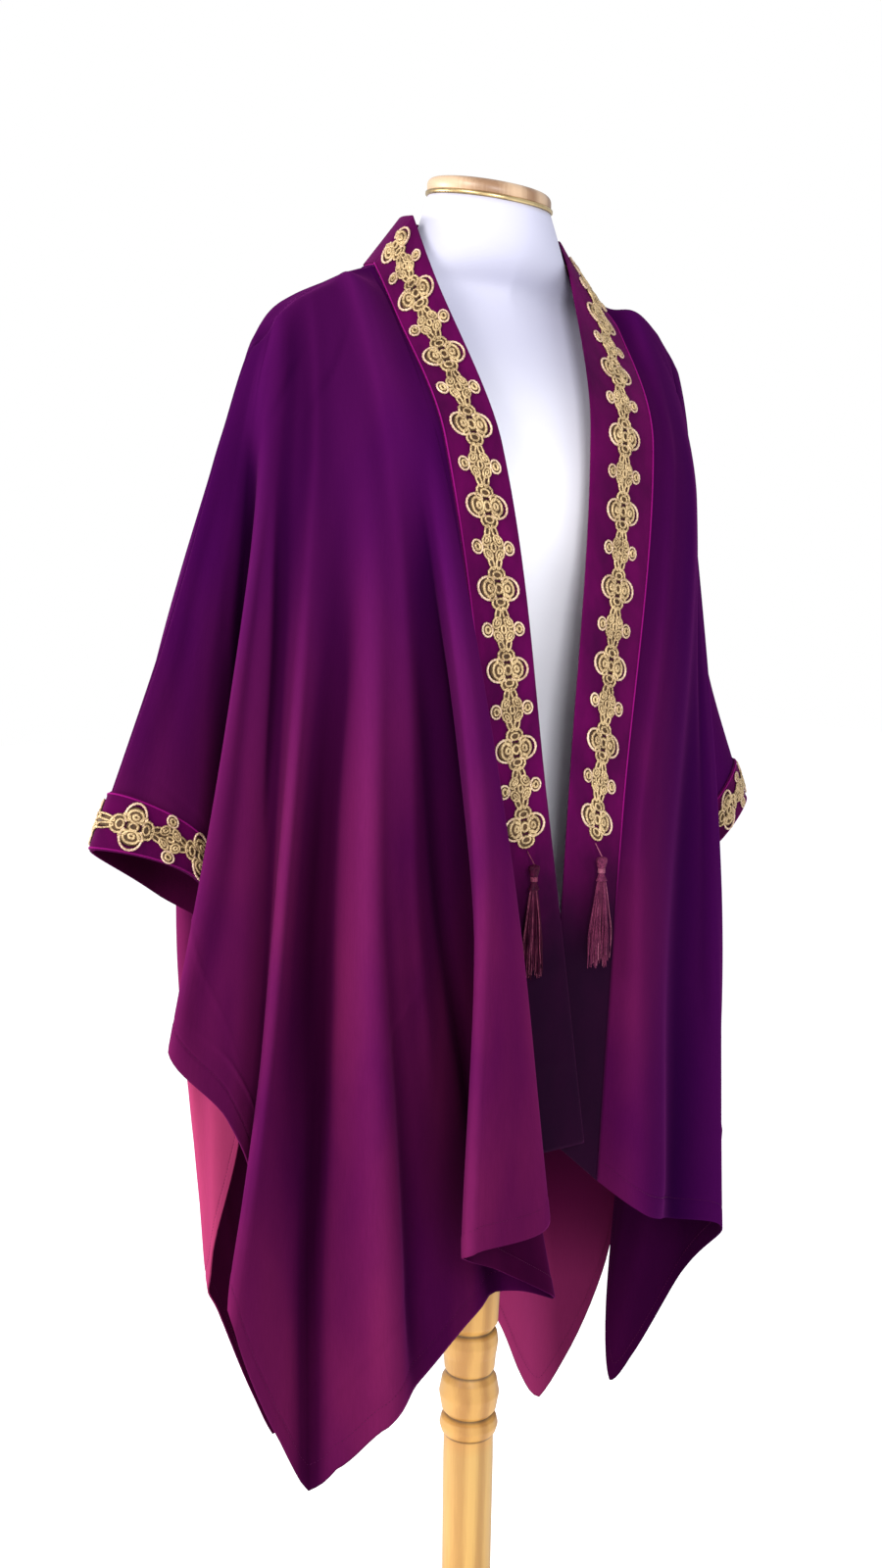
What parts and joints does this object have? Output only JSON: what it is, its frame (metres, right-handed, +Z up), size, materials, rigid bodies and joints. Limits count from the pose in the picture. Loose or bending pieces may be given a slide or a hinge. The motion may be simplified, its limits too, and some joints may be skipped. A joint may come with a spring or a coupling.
{
  "type": "cape on a dress form",
  "caption": "Open-front kimono cape of plum satin with velvet bands, gold lace trim and tassels, worn by a limbless dress form on a turned pole.",
  "frame": {"origin": "middle of the base's underside, where it rests on the floor", "axes": "+Z up, -Y the way the cape's open front faces, +X to the wearer's left"},
  "size_m": [0.7519, 0.3656, 1.4897],
  "materials": {
    "front_right": "plum satin with a soft sheen",
    "back": "plum satin outside, pink satin inside",
    "front_left": "plum satin with a soft sheen",
    "band_right": "magenta-purple velvet",
    "band_left": "magenta-purple velvet",
    "band_neck": "magenta-purple velvet",
    "cuff_right": "magenta-purple velvet",
    "cuff_left": "magenta-purple velvet",
    "trim_right": "antique gold corded lace",
    "trim_left": "antique gold corded lace",
    "trim_neck": "antique gold corded lace",
    "trim_cuff_right": "antique gold corded lace",
    "trim_cuff_left": "antique gold corded lace",
    "tassel_right": "dark maroon thread",
    "tassel_left": "dusty plum thread",
    "form_torso": "off-white stretched cloth over the form",
    "neck_rim": "thin pale brass plate",
    "neck_cap": "taupe-brown wood, satin varnish",
    "pole": "pale turned wood, satin varnish",
    "base": "pale turned wood, satin varnish"
  },
  "bodies": {
    "root": {"front_right": "front_right", "back": "back", "front_left": "front_left", "band_right": "band_right", "band_left": "band_left", "band_neck": "band_neck", "cuff_right": "cuff_right", "cuff_left": "cuff_left", "trim_right": "trim_right", "trim_left": "trim_left", "trim_neck": "trim_neck", "trim_cuff_right": "trim_cuff_right", "trim_cuff_left": "trim_cuff_left", "tassel_right": "tassel_right", "tassel_left": "tassel_left", "form_torso": "form_torso", "neck_rim": "neck_rim", "neck_cap": "neck_cap", "pole": "pole", "base": "base"}
  },
  "joints": []
}
